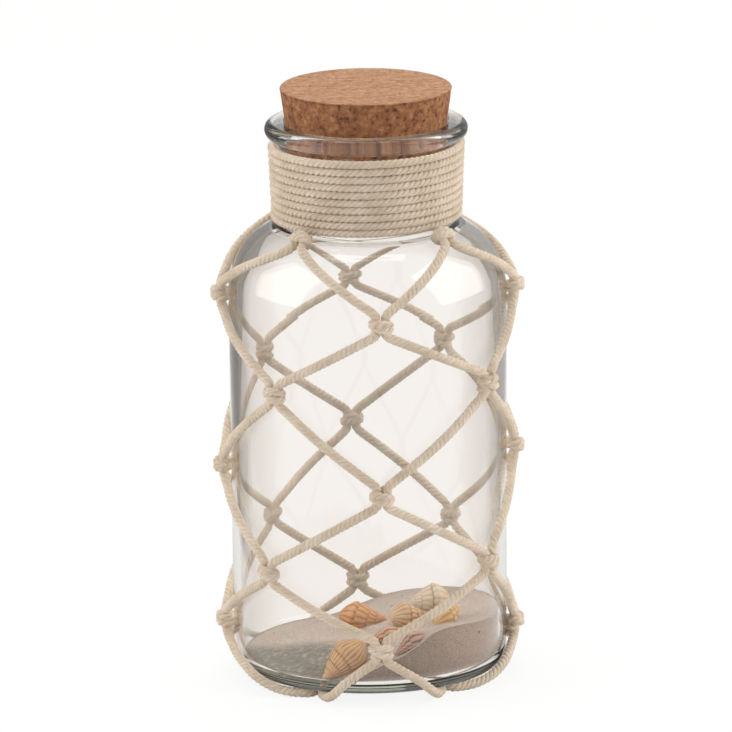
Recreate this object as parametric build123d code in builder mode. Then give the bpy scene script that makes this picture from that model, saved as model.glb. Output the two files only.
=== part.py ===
from build123d import *
import os
from math import acos, asin, atan2, ceil, cos, degrees, floor, hypot, pi, radians, sin, sqrt, tan

os.makedirs("parts", exist_ok=True)

# Fits shared by all pieces
seat_gap = 0.3

# Glass bottle
body_diameter = 120.0
body_taper = 1.2
shoulder_height = 170.0
shoulder_radius = 32.0
corner_radius = 6.0
neck_diameter = 75.0
neck_height = 35.3
neck_flare = 3.0
neck_wall = 3.5
neck_fillet_radius = 4.5
lip_overhang = 4.7
lip_height = 7.2
lip_round = 3.3
mouth_wall = 3.8
mouth_edge_radius = 1.2
body_wall = 3.5
base_wall = 4.0

# Cork stopper
cork_fit = 0.38
cork_above_lip = 14.8
cork_below_lip = 15.2
cork_half_angle = 8.0
cork_chamfer = 0.8

# Net cords and their knots
cord_diameter = 4.0
cord_sides = 6
pair_gap = 0.4
band_height = 6.0
band_wall = 0.9
band_fit = 0.25
band_chamfer = 1.2
bend_radius = 4.0
cord_end = 1.0

# Ring that the cords start from
ring_diameter = 78.0
ring_cut_share = 0.1

# Winding round the neck
winding_cord_diameter = 2.9
winding_gap = 0.45
winding_end_turn = 150.0

# Sand: its top is highest towards one turn from the front, and falls off steeply at the front left
sand_middle_height = 19.5
sand_slope = 10.4
sand_high_turn = 81.0
sand_front_slope = 35.0
sand_front_turn = -36.0
sand_front_share = 0.84

# Sizes that follow from those above
base_diameter = body_diameter - body_taper
glass_top = shoulder_height + shoulder_radius + neck_height + lip_height
neck_top_diameter = neck_diameter + neck_flare
lip_diameter = neck_top_diameter + 2 * lip_overhang
mouth_diameter = neck_top_diameter - 2 * mouth_wall
cork_radius = mouth_diameter / 2 - cork_fit
cord_radius = cord_diameter / 2
base_level = cord_diameter + seat_gap
cavity_bottom = base_level + base_wall
net_stand_off = seat_gap + cord_radius
knot_stand_off = seat_gap + band_wall + band_fit + cord_radius
pair_pitch = cord_diameter + pair_gap


def section_point(radius, height):
    """Point of the bottle's section, in the plane through its axis."""
    return Vector(radius, 0, height)


def tangent_normal(near, near_radius, far, far_radius):
    """Unit normal of the line that touches two circles on their outer side."""
    way = far - near
    angle = atan2(way.Z, way.X) - acos((near_radius - far_radius) / way.length)
    return section_point(cos(angle), sin(angle))


# The outside of the glass, from the axis under the base up to the lip, as circles and their tangents
corner_centre = section_point(base_diameter / 2 - corner_radius, base_level + corner_radius)
shoulder_centre = section_point(body_diameter / 2 - shoulder_radius, shoulder_height)
side_normal = tangent_normal(corner_centre, corner_radius, shoulder_centre, shoulder_radius)
side_bottom = corner_centre + side_normal * corner_radius
side_top = shoulder_centre + side_normal * shoulder_radius

lip_bottom = glass_top - lip_height
neck_lean = atan2(neck_flare / 2, neck_height)
neck_normal = section_point(cos(neck_lean), -sin(neck_lean))
neck_along = section_point(sin(neck_lean), cos(neck_lean))
neck_top = section_point(neck_top_diameter / 2, lip_bottom)
fillet_line_start = neck_top + neck_normal * neck_fillet_radius
to_shoulder = fillet_line_start - shoulder_centre
fillet_reach = to_shoulder.dot(neck_along)
fillet_drop = fillet_reach - sqrt(
    fillet_reach**2 - to_shoulder.length**2 + (shoulder_radius + neck_fillet_radius) ** 2
)
fillet_centre = fillet_line_start - neck_along * fillet_drop
shoulder_end = shoulder_centre + (fillet_centre - shoulder_centre).normalized() * shoulder_radius
neck_bottom = fillet_centre - neck_normal * neck_fillet_radius
base_centre = section_point(0, base_level)
corner_start = section_point(corner_centre.X, base_level)

with BuildLine(Plane.XZ) as glass_side:
    Line(base_centre, corner_start)
    TangentArc(corner_start, side_bottom, tangent=Vector(1, 0, 0))
    Line(side_bottom, side_top)
    TangentArc(side_top, shoulder_end, tangent=side_top - side_bottom)
    TangentArc(neck_bottom, shoulder_end, tangent=neck_along * -1)
    Line(neck_bottom, neck_top)
glass_outline = glass_side.wire()

# Runs are lengths along that outline, counted from the axis under the base
corner_run = corner_centre.X
side_run = corner_run + corner_radius * (pi / 2 + atan2(side_normal.Z, side_normal.X))
shoulder_run = side_run + (side_top - side_bottom).length
shoulder_turn = 2 * asin((shoulder_end - side_top).length / 2 / shoulder_radius)
neck_run = shoulder_run + shoulder_radius * shoulder_turn
net_run = neck_run - side_run

# Glass bottle: outside as above, with the lip, and the inside a wall's thickness in
inner_corner = corner_radius - body_wall / 2
cavity_radius = base_diameter / 2 - body_wall
inner_shoulder = shoulder_radius - body_wall
mouth_radius = mouth_diameter / 2
bore_bottom_radius = neck_diameter / 2 - neck_wall
bore_bottom = section_point(
    bore_bottom_radius,
    shoulder_height + sqrt(inner_shoulder**2 - (bore_bottom_radius - shoulder_centre.X) ** 2),
)
inner_side_top = section_point(body_diameter / 2 - body_wall, shoulder_height)
wall_foot = section_point(cavity_radius, cavity_bottom + inner_corner)
floor_edge = section_point(cavity_radius - inner_corner, cavity_bottom)
floor_centre = section_point(0, cavity_bottom)
lip_start = section_point(lip_diameter / 2 - lip_round, lip_bottom)
lip_low = lip_start + section_point(lip_round, lip_round)
lip_end = section_point(lip_diameter / 2 - lip_round, glass_top)
lip_high = lip_end + section_point(lip_round, -lip_round)
mouth_top = section_point(mouth_radius + mouth_edge_radius, glass_top)
mouth_side = section_point(mouth_radius, glass_top - mouth_edge_radius)

with BuildPart() as glass_bottle:
    with BuildSketch(Plane.XZ) as glass_section:
        with BuildLine(Plane.XZ):
            add(glass_side.line)
            Line(neck_top, lip_start)
            TangentArc(lip_start, lip_low, tangent=Vector(1, 0, 0))
            Line(lip_low, lip_high)
            TangentArc(lip_high, lip_end, tangent=Vector(0, 0, 1))
            Line(lip_end, mouth_top)
            TangentArc(mouth_top, mouth_side, tangent=Vector(-1, 0, 0))
            Line(mouth_side, bore_bottom)
            TangentArc(inner_side_top, bore_bottom, tangent=Vector(0, 0, 1))
            Line(inner_side_top, wall_foot)
            TangentArc(floor_edge, wall_foot, tangent=Vector(1, 0, 0))
            Line(floor_edge, floor_centre)
            Line(floor_centre, base_centre)
        make_face()
    revolve(axis=Axis.Z)
glass_bottle.part.label = "glass_bottle"

# Cork stopper: a tapered plug, widest at its top
cork_slope = tan(radians(cork_half_angle))
with BuildPart() as cork_stopper:
    with BuildSketch(Plane.XY.offset(glass_top + cork_above_lip)):
        Circle(cork_radius + cork_above_lip * cork_slope)
    with BuildSketch(Plane.XY.offset(glass_top - cork_below_lip)):
        Circle(cork_radius - cork_below_lip * cork_slope)
    loft(ruled=True)
    chamfer(cork_stopper.edges().filter_by(GeomType.CIRCLE), cork_chamfer)
cork_stopper.part.label = "cork_stopper"


def on_glass(turn, run, stand_off):
    """Point that stands off the glass: turn in degrees from the front, run along the outline."""
    foot = glass_outline.position_at(run, position_mode=PositionMode.LENGTH)
    along = glass_outline.tangent_at(run, position_mode=PositionMode.LENGTH)
    radius = foot.X + along.Z * stand_off
    height = foot.Z - along.X * stand_off
    return Vector(radius * sin(radians(turn)), -radius * cos(radians(turn)), height)


straight_share = 5e-3


def biarc(start, start_way, finish, finish_way):
    """Two arcs that leave start and reach finish in the given directions, drawn in the open line."""
    chord = finish - start
    both = start_way + finish_way
    spread = 2 * (1 - start_way.dot(finish_way))
    along = chord.dot(both)
    if spread < 1e-6:
        reach = chord.length / 4 * chord.length / chord.dot(start_way)
    else:
        reach = (sqrt(along**2 + spread * chord.dot(chord)) - along) / spread
    middle = (start + finish + (start_way - finish_way) * reach) / 2
    middle_way = (finish - finish_way * reach - start - start_way * reach).normalized()
    draw_arc(start, middle, start_way)
    draw_arc(middle, finish, middle_way)


def draw_arc(start, finish, way):
    """An arc, or a line where the two ends lie nearly along the direction."""
    if way.cross((finish - start).normalized()).length < straight_share:
        Line(start, finish)
    else:
        TangentArc(start, finish, tangent=way)


# Winding: one cord round the neck from its fillet to the lip, in quarter turns, two arcs to each half turn
winding_radius = winding_cord_diameter / 2
winding_pitch = winding_cord_diameter + winding_gap
winding_stand_off = seat_gap + winding_radius
winding_top = lip_bottom - seat_gap - winding_radius
winding_turns = floor(4 * (winding_top - shoulder_end.Z - winding_cord_diameter) / winding_pitch) / 4


def winding_point(turns):
    """Centre of the winding's cord, counted in turns from its lower end."""
    height = winding_top - (winding_turns - turns) * winding_pitch
    radius = neck_top.X + winding_stand_off - (neck_top.Z - height) * tan(neck_lean)
    angle = radians(winding_end_turn) + 2 * pi * (turns - winding_turns)
    return Vector(radius * sin(angle), -radius * cos(angle), height)


def way_along(route, at, step=1e-4):
    """Direction of a route at a value of its parameter."""
    return (route(at + step) - route(at - step)).normalized()


with BuildPart() as neck_winding:
    with BuildLine() as winding_line:
        for half_turn in range(ceil(2 * winding_turns)):
            low, high = half_turn / 2, min((half_turn + 1) / 2, winding_turns)
            biarc(
                winding_point(low), way_along(winding_point, low),
                winding_point(high), way_along(winding_point, high),
            )
    with BuildSketch(Plane(origin=winding_point(0), z_dir=way_along(winding_point, 0))):
        RegularPolygon(winding_radius, cord_sides)
    sweep(path=winding_line.line)
neck_winding.part.label = "neck_winding"

steps_per_turn = 60
least_gap = min(
    (winding_point(step / steps_per_turn) - winding_point((step + ahead) / steps_per_turn)).length
    for step in range(steps_per_turn)
    for ahead in range(steps_per_turn // 2, 3 * steps_per_turn // 2)
)
print(f"winding: {winding_turns} turns, least gap to itself {least_gap - winding_cord_diameter:.2f} mm")

# Net: where the four doubled cords start at the base, and for each row of knots from the base up the
# turns and heights of its four knots. A cord's own knot joins its two strands, a shared one joins neighbours.
start_turns = (-27.5, 40.0, 137.0, 222.0)
own_knot_turns = ((-43.8, 54.0, 143.0, 226.0), (-39.5, 53.8, 146.0, 230.0), (-37.0, 45.0, 146.0, 226.0))
shared_knot_turns = ((4.0, 91.0, 185.0, 273.0), (5.0, 91.0, 187.0, 273.0), (5.0, 91.0, 187.0, 273.0))
own_row_shares = ((0.233, 0.243, 0.232, 0.245), (0.635, 0.643, 0.633, 0.624), (0.977, 0.978, 0.976, 0.976))
shared_row_shares = ((0.076, 0.052, 0.067, 0.070), (0.423, 0.456, 0.436, 0.422), (0.804, 0.815, 0.772, 0.808))

ring_cord_cut = ring_cut_share * cord_diameter
ring_height = base_level - seat_gap
ring_half = (ring_height + ring_cord_cut) / 2
ring_corner_radius = ring_half / cos(pi / cord_sides)
bight_run = ring_diameter / 2 + ring_half + seat_gap + cord_radius + pair_pitch / 2


def pair_turn(run):
    """Half the angle between two cords that lie side by side at a run along the glass."""
    spot = on_glass(0, run, net_stand_off)
    return degrees(asin(pair_pitch / 2 / abs(spot.Y)))


def stations(cord, side):
    """The knots that one strand of a doubled cord goes through, as turn and run, from the base up."""
    neighbour = (cord + (side - 1) // 2) % 4
    lap = 360.0 if cord == 0 and side < 0 else 0.0
    found = []
    for row in range(len(own_row_shares)):
        run = side_run + shared_row_shares[row][neighbour] * net_run
        found.append((shared_knot_turns[row][neighbour] - lap - side * pair_turn(run), run))
        run = side_run + own_row_shares[row][cord] * net_run
        found.append((own_knot_turns[row][cord] + side * pair_turn(run), run))
    return found


def strand_lean(height, width):
    """Angle from upright of a strand between two knots, where it bends out of one and into the other."""
    straight_width = width - 2 * bend_radius
    return atan2(straight_width, height) + asin(2 * bend_radius / hypot(straight_width, height))


def swept(rise, height, width):
    """How far across its width a strand has got after a rise: a bend, a straight run and a bend back."""
    lean = strand_lean(height, width)
    bend_rise = bend_radius * sin(lean)
    if rise < bend_rise:
        return bend_radius - sqrt(bend_radius**2 - rise**2)
    if rise > height - bend_rise:
        return width - swept(height - rise, height, width)
    return bend_radius - bend_radius * cos(lean) + (rise - bend_rise) * tan(lean)


def lift_left(rise):
    """Share of a knot's extra stand-off that is left after a rise from it."""
    gone = min(rise / bend_radius / 2, 1)
    return (1 - gone) ** 2 * (1 + 2 * gone)


def strand_spans(cord, side):
    """Spans between knots, from the base to the neck: a function of the rise, and the rises at its bends."""
    half = band_height / 2
    lower = (start_turns[cord] + side * pair_turn(bight_run), corner_run - cord_diameter, net_stand_off)
    spans = []
    for turn, run in stations(cord, side):
        upper = (turn, run - half, knot_stand_off)
        height = upper[1] - lower[1]
        middle = on_glass(0, (lower[1] + upper[1]) / 2, net_stand_off)
        width = radians(abs(upper[0] - lower[0])) * abs(middle.Y)
        bend_rise = bend_radius * sin(strand_lean(height, width))

        def span(rise, low=lower, high=upper, height=height, width=width):
            lift = (low[2] - net_stand_off) * lift_left(rise) + (high[2] - net_stand_off) * lift_left(height - rise)
            turned = (high[0] - low[0]) * swept(rise, height, width) / width
            return on_glass(low[0] + turned, low[1] + rise, net_stand_off + lift)

        spans.append((span, (0.0, bend_rise, height / 2, height - bend_rise, height)))
        lower = (turn, run + half, knot_stand_off)
    return spans


def strand_points(cord, side):
    """Points and directions along one strand, from its start at the base to its end under the winding."""
    points = []
    step = seat_gap / 10
    for span, rises in strand_spans(cord, side):
        for rise in rises:
            low, high = max(rise - step, 0.0), min(rise + step, rises[-1])
            points.append((span(rise), (span(high) - span(low)).normalized()))
    turn, run = stations(cord, side)[-1]
    end = on_glass(turn, run + band_height / 2 + cord_end, knot_stand_off)
    points.append((end, (end - points[-1][0]).normalized()))
    return points


def draw_through(points):
    for (start, start_way), (finish, finish_way) in zip(points, points[1:]):
        biarc(start, start_way, finish, finish_way)


net_cords = []
for cord in range(4):
    left = strand_points(cord, -1)
    right = strand_points(cord, 1)
    left_foot = on_glass(start_turns[cord] - pair_turn(bight_run), bight_run, net_stand_off)
    right_foot = on_glass(start_turns[cord] + pair_turn(bight_run), bight_run, net_stand_off)
    inward = (left_foot - left[0][0]).normalized()
    outward = (right[0][0] - right_foot).normalized()
    route = [(spot, way * -1) for spot, way in reversed(left)]
    route += [(left_foot, inward), (right_foot, outward)] + right
    with BuildPart() as net_cord:
        with BuildLine() as cord_line:
            draw_through(route)
        with BuildSketch(Plane(origin=route[0][0], z_dir=route[0][1])):
            RegularPolygon(cord_radius, cord_sides)
        sweep(path=cord_line.line)
    net_cord.part.label = f"net_cord_{cord + 1}"
    net_cords.append(net_cord)
    print(net_cord.part.label, f"length {cord_line.wire().length:.0f} mm")

# Net knots: where two strands meet, a band of cord drawn tight round both, plumper in its middle
band_bore_width = pair_pitch + cord_diameter + 2 * band_fit
band_bore_depth = cord_diameter + 2 * band_fit
knots_up = [station for cord in range(4) for station in stations(cord, 1)]


def band_sketch(plane, wall):
    """Outline of a knot's band, a wall's thickness outside the two strands."""
    with BuildSketch(plane) as outline:
        Rectangle(band_bore_width + 2 * wall, band_bore_depth + 2 * wall)
        chamfer(outline.vertices(), band_chamfer)
    return outline.sketch.face()


band_planes = []
for place, (turn, run) in enumerate(knots_up):
    side = 1 if place % 2 == 0 else -1
    middle_turn = turn + side * pair_turn(run)
    low = on_glass(middle_turn, run - band_height / 2, knot_stand_off)
    high = on_glass(middle_turn, run + band_height / 2, knot_stand_off)
    across = Vector(cos(radians(middle_turn)), sin(radians(middle_turn)), 0)
    band_planes.append(Plane(origin=low, x_dir=across, z_dir=high - low))

with BuildPart() as net_knots:
    for plane in band_planes:
        ends = [band_sketch(plane.offset(level), band_wall / 2) for level in (0, band_height)]
        middle = band_sketch(plane.offset(band_height / 2), band_wall)
        loft(sections=[ends[0], middle, ends[1]], ruled=True)
    for plane in band_planes:
        extrude(band_sketch(plane, 0), amount=band_height, mode=Mode.SUBTRACT)
net_knots.part.label = "net_knots"

# Base ring: the cord that the doubled cords start from, pressed flat where the bottle stands on it
with BuildPart() as base_ring:
    with BuildSketch(Plane.XZ):
        with Locations((ring_diameter / 2, ring_half - ring_cord_cut)):
            RegularPolygon(ring_corner_radius, cord_sides)
        with Locations((ring_diameter / 2, -ring_cord_cut)):
            Rectangle(ring_height, 2 * ring_cord_cut, mode=Mode.SUBTRACT)
    revolve(axis=Axis.Z)
base_ring.part.label = "base_ring"

# Sand: it fills the foot of the bottle, under one plane that rises to the right and one that falls to the front
sand_radius = cavity_radius - seat_gap
sand_bottom = cavity_bottom + seat_gap


def slope_plane(turn, reach, height, slope):
    """Plane through a point at a reach from the axis, which rises towards a turn from the front."""
    toward = Vector(sin(radians(turn)), -cos(radians(turn)), 0)
    level, rise = cos(radians(slope)), sin(radians(slope))
    return Plane(
        origin=toward * reach + Vector(0, 0, height),
        x_dir=toward * level + Vector(0, 0, rise),
        z_dir=Vector(0, 0, level) - toward * rise,
    )


def height_on(plane, x, y):
    """Height of a plane over a point of the floor."""
    normal = plane.z_dir
    return plane.origin.Z - (normal.X * (x - plane.origin.X) + normal.Y * (y - plane.origin.Y)) / normal.Z


sand_plane = slope_plane(sand_high_turn, 0, sand_middle_height, sand_slope)
front_reach = sand_front_share * sand_radius
front_x, front_y = front_reach * sin(radians(sand_front_turn)), -front_reach * cos(radians(sand_front_turn))
front_height = height_on(sand_plane, front_x, front_y)
sand_front_plane = slope_plane(sand_front_turn, front_reach, front_height, -sand_front_slope)

# Shells: length, width and ribs, where each lies on the sand as shares of the sand's radius, the way its
# tip points in degrees from the right, and how far its tip falls below its mouth in degrees
shell_names = (
    "ribbed_whelk_shell", "ridged_whelk_shell", "red_striped_shell", "small_round_shell",
    "pale_large_shell", "pale_yellow_shell", "yellow_striped_shell", "shell_fragment",
)
shell_lengths = (23.0, 21.0, 18.0, 15.0, 19.0, 16.0, 16.0, 6.0)
shell_widths = (15.5, 11.5, 6.0, 7.0, 10.0, 9.5, 10.5, 3.6)
shell_ribs = (10, 9, 7, 7, 9, 8, 8, 6)
shell_place_shares = (
    (-0.21, -0.80), (-0.04, 0.09), (0.15, -0.53), (0.28, -0.81),
    (0.45, 0.20), (0.37, -0.16), (0.60, -0.33), (0.06, -0.90),
)
shell_tip_turns = (208.0, 348.0, 232.0, 220.0, 173.0, 199.0, 50.0, 20.0)
shell_tip_falls = (43.0, 3.0, 14.0, 34.0, 10.0, 10.0, -15.0, 0.0)
shell_sink_share = 0.25
whorl_shares = (
    (0.0, 0.10), (0.13, 0.34), (0.17, 0.28), (0.33, 0.60), (0.38, 0.50),
    (0.60, 0.98), (0.70, 1.00), (0.86, 0.60), (1.0, 0.26),
)
mouth_start_share, mouth_end_share, mouth_width_share, mouth_depth_share = 0.56, 0.94, 0.45, 0.30


def shell_plane(place, turn, fall, length, width):
    """Plane at a shell's tip, looking along the shell to its mouth, with the shell lying on the sand."""
    x, y = place[0] * sand_radius, place[1] * sand_radius
    sand_height = min(height_on(sand_plane, x, y), height_on(sand_front_plane, x, y))
    middle = Vector(x, y, sand_height + width * (1 / 2 - shell_sink_share))
    level = cos(radians(fall))
    to_tip = Vector(level * cos(radians(turn)), level * sin(radians(turn)), -sin(radians(fall)))
    return Plane(origin=middle + to_tip * (length / 2), x_dir=Vector(0, 0, 1), z_dir=to_tip * -1)


def whorls(plane, length, width, ribs, growth=0.0, mode=Mode.ADD):
    """The whorls of a shell, as ribbed lengths that swell and draw in from the tip to the mouth."""
    stations = [
        (along * (length + 2 * growth) - growth, across * width / 2 + growth) for along, across in whorl_shares
    ]
    flat_share = cos(pi / ribs)
    for (low, low_radius), (high, high_radius) in zip(stations, stations[1:]):
        with BuildSketch(plane.offset(low)) as section:
            RegularPolygon(low_radius, ribs)
        narrowing = degrees(atan2((low_radius - high_radius) * flat_share, high - low))
        extrude(section.sketch.face(), amount=high - low, taper=narrowing, mode=mode)


shells = []
for name, length, width, ribs, place, turn, fall in zip(
    shell_names, shell_lengths, shell_widths, shell_ribs, shell_place_shares, shell_tip_turns, shell_tip_falls
):
    plane = shell_plane(place, turn, fall, length, width)
    with BuildPart() as shell:
        whorls(plane, length, width, ribs)
        mouth_plane = Plane(
            origin=plane.origin + plane.z_dir * (length * (mouth_start_share + mouth_end_share) / 2),
            x_dir=plane.z_dir,
            z_dir=plane.x_dir + plane.y_dir,
        )
        with BuildSketch(mouth_plane.offset(width)) as mouth:
            Rectangle(length * (mouth_end_share - mouth_start_share), width * mouth_width_share)
            chamfer(mouth.vertices(), width * mouth_width_share / 3)
        extrude(amount=-width * (1 - mouth_depth_share / 2), mode=Mode.SUBTRACT)
    shell.part.label = name
    shells.append(shell)

with BuildPart() as sand_bed:
    with BuildSketch(Plane.XY.offset(sand_bottom)):
        Circle(sand_radius)
    extrude(amount=shoulder_height - sand_bottom)
    chamfer(sand_bed.edges().group_by(Axis.Z)[0], inner_corner)
    split(bisect_by=sand_plane, keep=Keep.BOTTOM)
    split(bisect_by=sand_front_plane, keep=Keep.BOTTOM)
    for length, width, ribs, place, turn, fall in zip(
        shell_lengths, shell_widths, shell_ribs, shell_place_shares, shell_tip_turns, shell_tip_falls
    ):
        plane = shell_plane(place, turn, fall, length, width)
        whorls(plane, length, width, ribs, seat_gap, Mode.SUBTRACT)
sand_bed.part.label = "sand_bed"

pieces = [glass_bottle, cork_stopper, neck_winding, *net_cords, net_knots, base_ring, sand_bed, *shells]
for piece in pieces:
    export_step(piece.part, f"parts/{piece.part.label}.step")
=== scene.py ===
from math import acos, asin, atan2, ceil, cos, degrees, exp, log, pi, radians, sin, sqrt, tan

import bpy
from mathutils import Matrix, Quaternion, Vector, noise


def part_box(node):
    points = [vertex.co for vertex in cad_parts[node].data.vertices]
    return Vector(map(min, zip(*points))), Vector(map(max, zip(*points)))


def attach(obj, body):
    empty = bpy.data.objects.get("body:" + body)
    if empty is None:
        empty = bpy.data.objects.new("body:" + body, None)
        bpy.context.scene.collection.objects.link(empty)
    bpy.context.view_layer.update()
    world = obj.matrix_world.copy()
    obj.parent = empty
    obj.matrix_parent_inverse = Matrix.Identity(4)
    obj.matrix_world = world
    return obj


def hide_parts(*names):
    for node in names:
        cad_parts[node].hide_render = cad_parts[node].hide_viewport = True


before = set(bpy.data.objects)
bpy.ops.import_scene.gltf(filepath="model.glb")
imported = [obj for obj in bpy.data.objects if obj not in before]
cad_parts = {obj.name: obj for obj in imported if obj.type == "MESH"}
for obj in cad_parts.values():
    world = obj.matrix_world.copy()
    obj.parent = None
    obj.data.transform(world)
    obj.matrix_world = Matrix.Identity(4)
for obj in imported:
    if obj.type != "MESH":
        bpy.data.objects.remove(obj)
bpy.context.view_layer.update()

# Camera
# It looks a little down on the bottle from the front, from far off, and leans by half a degree.
view_distance = 3.5
view_rise = radians(14.3)
view_roll = radians(-0.5)
view_target = Vector((-0.0009, 0.0, 0.1356))
view_end = 50.0
film_width = 36.0
lens_length = 398.8


def add_object(name, data):
    """A new object in the scene that shows some data."""
    made = bpy.data.objects.new(name, data)
    bpy.context.collection.objects.link(made)
    return made


camera_data = bpy.data.cameras.new("camera")
camera_data.sensor_width = film_width
camera_data.lens = lens_length
camera_data.clip_end = view_end
camera = add_object("camera", camera_data)
bpy.context.scene.camera = camera
view_way = Vector((0.0, cos(view_rise), -sin(view_rise)))
camera_lean = Quaternion((0.0, 0.0, 1.0), view_roll)
camera.location = view_target - view_way * view_distance
camera.rotation_mode = "QUATERNION"
camera.rotation_quaternion = view_way.to_track_quat("-Z", "Y") @ camera_lean

# Floor and light
# A wide white floor, one large soft lamp over the bottle and one at each side, the right one
# stronger. Two grey boards beside the bottle give the clear glass its grey edges, along with
# painted grey shade in the glass's own colour.
floor_size = 12.0
floor_grey = 0.86
floor_roughness = 0.9
floor_glow = 1.02
floor_glow_share = 0.85
sky_light = 0.44
sky_seen = 1.0
white = (1.0, 1.0, 1.0, 1.0)
lamp_colour = (1.0, 0.965, 0.925)
# Each lamp: name, place, size, power.
lamp_facts = (
    ("top_lamp", (-0.1, 0.8, 2.5), 1.8, 28.0),
    ("right_lamp", (2.1, -0.1, 1.25), 2.4, 37.0),
    ("left_lamp", (-2.1, -0.3, 1.15), 2.2, 27.0),
)
# Each board: name, side, grey.
board_facts = (("left_board", -1, 0.24), ("right_board", 1, 0.48))
board_gap = 0.20
board_start = 0.06
board_end = 1.2
board_height = 1.0


def plain_mesh(name, points, faces):
    """A new object from points and faces."""
    mesh = bpy.data.meshes.new(name)
    mesh.from_pydata([tuple(p) for p in points], [], faces)
    mesh.update()
    return add_object(name, mesh)


def new_material(name):
    """A material with its tree and its Principled shader."""
    made = bpy.data.materials.new(name)
    made.use_nodes = True
    shader = made.node_tree.nodes["Principled BSDF"]
    return made, made.node_tree, shader


def add_node(tree, kind, **values):
    """A shader node with some of its sockets set; names that aren't sockets are its properties."""
    made = tree.nodes.new("ShaderNode" + kind)
    for key, value in values.items():
        socket = key.replace("_", " ")
        if socket in made.inputs:
            made.inputs[socket].default_value = value
        else:
            setattr(made, key, value)
    return made


def link_nodes(tree, *pairs):
    """Links pairs of sockets, each given as (node, output) and (node, input)."""
    for (giver, output), (taker, socket) in pairs:
        tree.links.new(giver.outputs[output], taker.inputs[socket])


def seen_share(tree, unseen, seen):
    """One value for light that falls on things, another for what the eye, gloss and glass see."""
    rays = add_node(tree, "LightPath")
    eye_or_gloss = add_node(tree, "Math", operation="MAXIMUM")
    or_glass = add_node(tree, "Math", operation="MAXIMUM")
    share = add_node(tree, "MapRange", To_Min=unseen, To_Max=seen)
    link_nodes(
        tree,
        ((rays, "Is Camera Ray"), (eye_or_gloss, 0)),
        ((rays, "Is Glossy Ray"), (eye_or_gloss, 1)),
        ((eye_or_gloss, 0), (or_glass, 0)),
        ((rays, "Is Transmission Ray"), (or_glass, 1)),
        ((or_glass, 0), (share, "Value")),
    )
    return share


half_floor = floor_size / 2
floor = plain_mesh(
    "floor",
    [
        (-half_floor, -half_floor, 0), (half_floor, -half_floor, 0),
        (half_floor, half_floor, 0), (-half_floor, half_floor, 0),
    ],
    [(0, 1, 2, 3)],
)
floor_material, floor_tree, floor_shader = new_material("white_floor")
floor_shader.inputs["Base Color"].default_value = (floor_grey, floor_grey, floor_grey, 1.0)
floor_shader.inputs["Roughness"].default_value = floor_roughness
floor_white = add_node(floor_tree, "Emission", Color=white, Strength=floor_glow)
floor_mix = add_node(floor_tree, "MixShader")
link_nodes(
    floor_tree,
    ((seen_share(floor_tree, 0.0, floor_glow_share), "Result"), (floor_mix, 0)),
    ((floor_shader, "BSDF"), (floor_mix, 1)),
    ((floor_white, "Emission"), (floor_mix, 2)),
    ((floor_mix, "Shader"), (floor_tree.nodes["Material Output"], "Surface")),
)
floor.data.materials.append(floor_material)

world = bpy.data.worlds.new("studio")
bpy.context.scene.world = world
world.use_nodes = True
sky_tree = world.node_tree
sky = sky_tree.nodes["Background"]
sky.inputs["Color"].default_value = white
link_nodes(sky_tree, ((seen_share(sky_tree, sky_light, sky_seen), "Result"), (sky, "Strength")))

for lamp_name, lamp_place, lamp_size, lamp_power in lamp_facts:
    lamp_data = bpy.data.lights.new(lamp_name, "AREA")
    lamp_data.size = lamp_size
    lamp_data.energy = lamp_power
    lamp_data.color = lamp_colour
    lamp = add_object(lamp_name, lamp_data)
    lamp.location = lamp_place
    lamp_way = view_target - Vector(lamp_place)
    lamp.rotation_euler = lamp_way.to_track_quat("-Z", "Y").to_euler()

for board_name, board_side, board_grey in board_facts:
    across = board_side * board_gap
    board = plain_mesh(
        board_name,
        [
            (across, board_start, 0.0), (across, board_end, 0.0),
            (across, board_end, board_height), (across, board_start, board_height),
        ],
        [(0, 1, 2, 3)],
    )
    board_material, _, board_shader = new_material(board_name)
    board_shader.inputs["Base Color"].default_value = (board_grey, board_grey, board_grey, 1.0)
    board.data.materials.append(board_material)
    # Only gloss and glass see the boards.
    board.visible_camera = False
    board.visible_diffuse = False
    board.visible_shadow = False

bpy.context.scene.view_settings.view_transform = "Standard"

# Glass bottle
# Blown clear glass in one piece: a straight round body that narrows a little to its foot, a large
# rounded shoulder, a short neck and a thick rolled lip. It stands on the cords under it.
glass_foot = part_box("glass_bottle")[0].z
glass_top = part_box("glass_bottle")[1].z
body_radius = 0.0600
foot_radius = 0.0594
corner_radius = 0.0060
shoulder_height = 0.1700
shoulder_radius = 0.0320
neck_foot_radius = 0.0375
neck_top_radius = 0.0390
neck_fillet = 0.0045
lip_height = 0.0072
lip_radius = 0.0437
lip_round = 0.0035
mouth_radius = 0.0352
mouth_round = 0.0014
bore_radius = 0.0340
wall = 0.0035
floor_thickness = 0.0040
lathe_steps = 144
arc_step = radians(5.0)
least_radius = 1e-7

corner_centre = Vector((foot_radius - corner_radius, glass_foot + corner_radius))
shoulder_centre = Vector((body_radius - shoulder_radius, shoulder_height))
centres_apart = shoulder_centre - corner_centre
side_angle = atan2(centres_apart.y, centres_apart.x) - acos(
    (corner_radius - shoulder_radius) / centres_apart.length
)
lip_foot = glass_top - lip_height
neck_height = lip_foot - shoulder_height - shoulder_radius
neck_lean = atan2(neck_top_radius - neck_foot_radius, neck_height)
neck_way = Vector((sin(neck_lean), cos(neck_lean)))
neck_outward = Vector((cos(neck_lean), -sin(neck_lean)))
fillet_start = Vector((neck_top_radius, lip_foot)) + neck_fillet * neck_outward
to_fillet = fillet_start - shoulder_centre
fillet_reach = to_fillet.dot(neck_way)
fillet_drop = fillet_reach - sqrt(
    fillet_reach**2 - to_fillet.length_squared + (shoulder_radius + neck_fillet) ** 2
)
fillet_centre = fillet_start - neck_way * fillet_drop
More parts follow.
